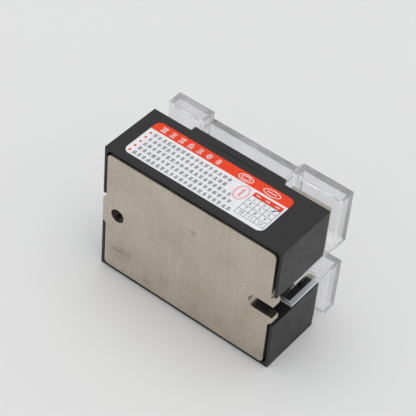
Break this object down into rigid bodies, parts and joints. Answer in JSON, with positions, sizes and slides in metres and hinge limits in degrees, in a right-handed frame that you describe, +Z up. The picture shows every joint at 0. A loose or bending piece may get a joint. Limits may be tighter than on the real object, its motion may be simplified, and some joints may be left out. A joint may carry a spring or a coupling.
{
  "type": "solid state relay",
  "caption": "Single-phase solid state relay in a flat black case with a metal base plate, notched ends, screw terminals and a clear clip-on cover.",
  "frame": {"origin": "under the middle of the whole box, on the surface the relay stands on", "axes": "+X along the length from the input end to the output end, +Y from the metal base plate towards the terminals and cover, +Z up towards the labelled long side"},
  "size_m": [0.0604, 0.0318, 0.0451],
  "materials": {
    "nickel_plate": "satin nickel-plated metal, faintly smudged",
    "black_moulding": "fine-grained black moulding",
    "clear_plastic": "clear injection moulding",
    "alumina": "fired ceramic",
    "copper": "bare copper",
    "silicon": "polished die",
    "tinned_brass": "tin-plated",
    "zinc_steel": "zinc-plated",
    "silicone_gel": "clear soft gel",
    "board_laminate": "solder-masked laminate",
    "black_epoxy": "moulded epoxy",
    "yellow_film": "boxed film capacitor",
    "resistor_coat": "lacquered",
    "red_lens": "tinted clear plastic",
    "label_film": "printed self-adhesive film"
  },
  "bodies": {
    "case": {"base_plate": "nickel_plate", "housing": "black_moulding", "ceramic_substrate": "alumina", "copper_pad_1": "copper", "copper_pad_2": "copper", "copper_clip_1": "copper", "copper_clip_2": "copper", "thyristor_chip_1": "silicon", "thyristor_chip_2": "silicon", "gate_pin_1": "tinned_brass", "gate_pin_2": "tinned_brass", "potting_gel": "silicone_gel", "control_board": "board_laminate", "optocoupler": "black_epoxy", "drive_transistor": "black_epoxy", "snubber_capacitor": "yellow_film", "input_resistor": "resistor_coat", "gate_resistor_1": "resistor_coat", "gate_resistor_2": "resistor_coat", "snubber_resistor": "resistor_coat", "input_diode": "black_epoxy", "indicator_led": "red_lens", "led_lens": "red_lens", "side_label": "label_film", "top_label": "label_film", "output_1_terminal_plate": "tinned_brass", "output_1_square_nut": "zinc_steel", "output_2_terminal_plate": "tinned_brass", "output_2_square_nut": "zinc_steel", "input_1_terminal_plate": "tinned_brass", "input_1_square_nut": "zinc_steel", "input_2_terminal_plate": "tinned_brass", "input_2_square_nut": "zinc_steel"},
    "cover": {"clear_cover": "clear_plastic"},
    "output_1_washer": {"output_1_clamp_washer": "zinc_steel"},
    "output_1_screw": {"output_1_terminal_screw": "zinc_steel"},
    "output_2_washer": {"output_2_clamp_washer": "zinc_steel"},
    "output_2_screw": {"output_2_terminal_screw": "zinc_steel"},
    "input_1_washer": {"input_1_clamp_washer": "zinc_steel"},
    "input_1_screw": {"input_1_terminal_screw": "zinc_steel"},
    "input_2_washer": {"input_2_clamp_washer": "zinc_steel"},
    "input_2_screw": {"input_2_terminal_screw": "zinc_steel"}
  },
  "joints": [
    {"name": "cover_lift", "type": "slide", "parent": "case", "child": "cover", "axis": [0, 1, 0], "range_m": [0, 0.0074]},
    {"name": "output_1_washer_rise", "type": "slide", "parent": "case", "child": "output_1_washer", "axis": [0, 1, 0], "range_m": [0, 0.0021]},
    {"name": "output_1_screw_turn", "type": "hinge", "parent": "output_1_washer", "child": "output_1_screw", "pos_m": [0.02243, 0.00758, 0.0085], "axis": [0, 1, 0], "range_deg": [0, 1080]},
    {"name": "output_2_washer_rise", "type": "slide", "parent": "case", "child": "output_2_washer", "axis": [0, 1, 0], "range_m": [0, 0.0021]},
    {"name": "output_2_screw_turn", "type": "hinge", "parent": "output_2_washer", "child": "output_2_screw", "pos_m": [0.02243, 0.00758, 0.0365], "axis": [0, 1, 0], "range_deg": [0, 1080]},
    {"name": "input_1_washer_rise", "type": "slide", "parent": "case", "child": "input_1_washer", "axis": [0, 1, 0], "range_m": [0, 0.0021]},
    {"name": "input_1_screw_turn", "type": "hinge", "parent": "input_1_washer", "child": "input_1_screw", "pos_m": [-0.02417, 0.00683, 0.0085], "axis": [0, 1, 0], "range_deg": [0, 1080]},
    {"name": "input_2_washer_rise", "type": "slide", "parent": "case", "child": "input_2_washer", "axis": [0, 1, 0], "range_m": [0, 0.0021]},
    {"name": "input_2_screw_turn", "type": "hinge", "parent": "input_2_washer", "child": "input_2_screw", "pos_m": [-0.02417, 0.00683, 0.0365], "axis": [0, 1, 0], "range_deg": [0, 1080]}
  ],
  "couplings": [
    {"joint": "output_1_screw_turn", "follows": "output_1_washer_rise", "rad_per_m": 8976},
    {"joint": "output_2_screw_turn", "follows": "output_2_washer_rise", "rad_per_m": 8976},
    {"joint": "input_1_screw_turn", "follows": "input_1_washer_rise", "rad_per_m": 8976},
    {"joint": "input_2_screw_turn", "follows": "input_2_washer_rise", "rad_per_m": 8976}
  ]
}
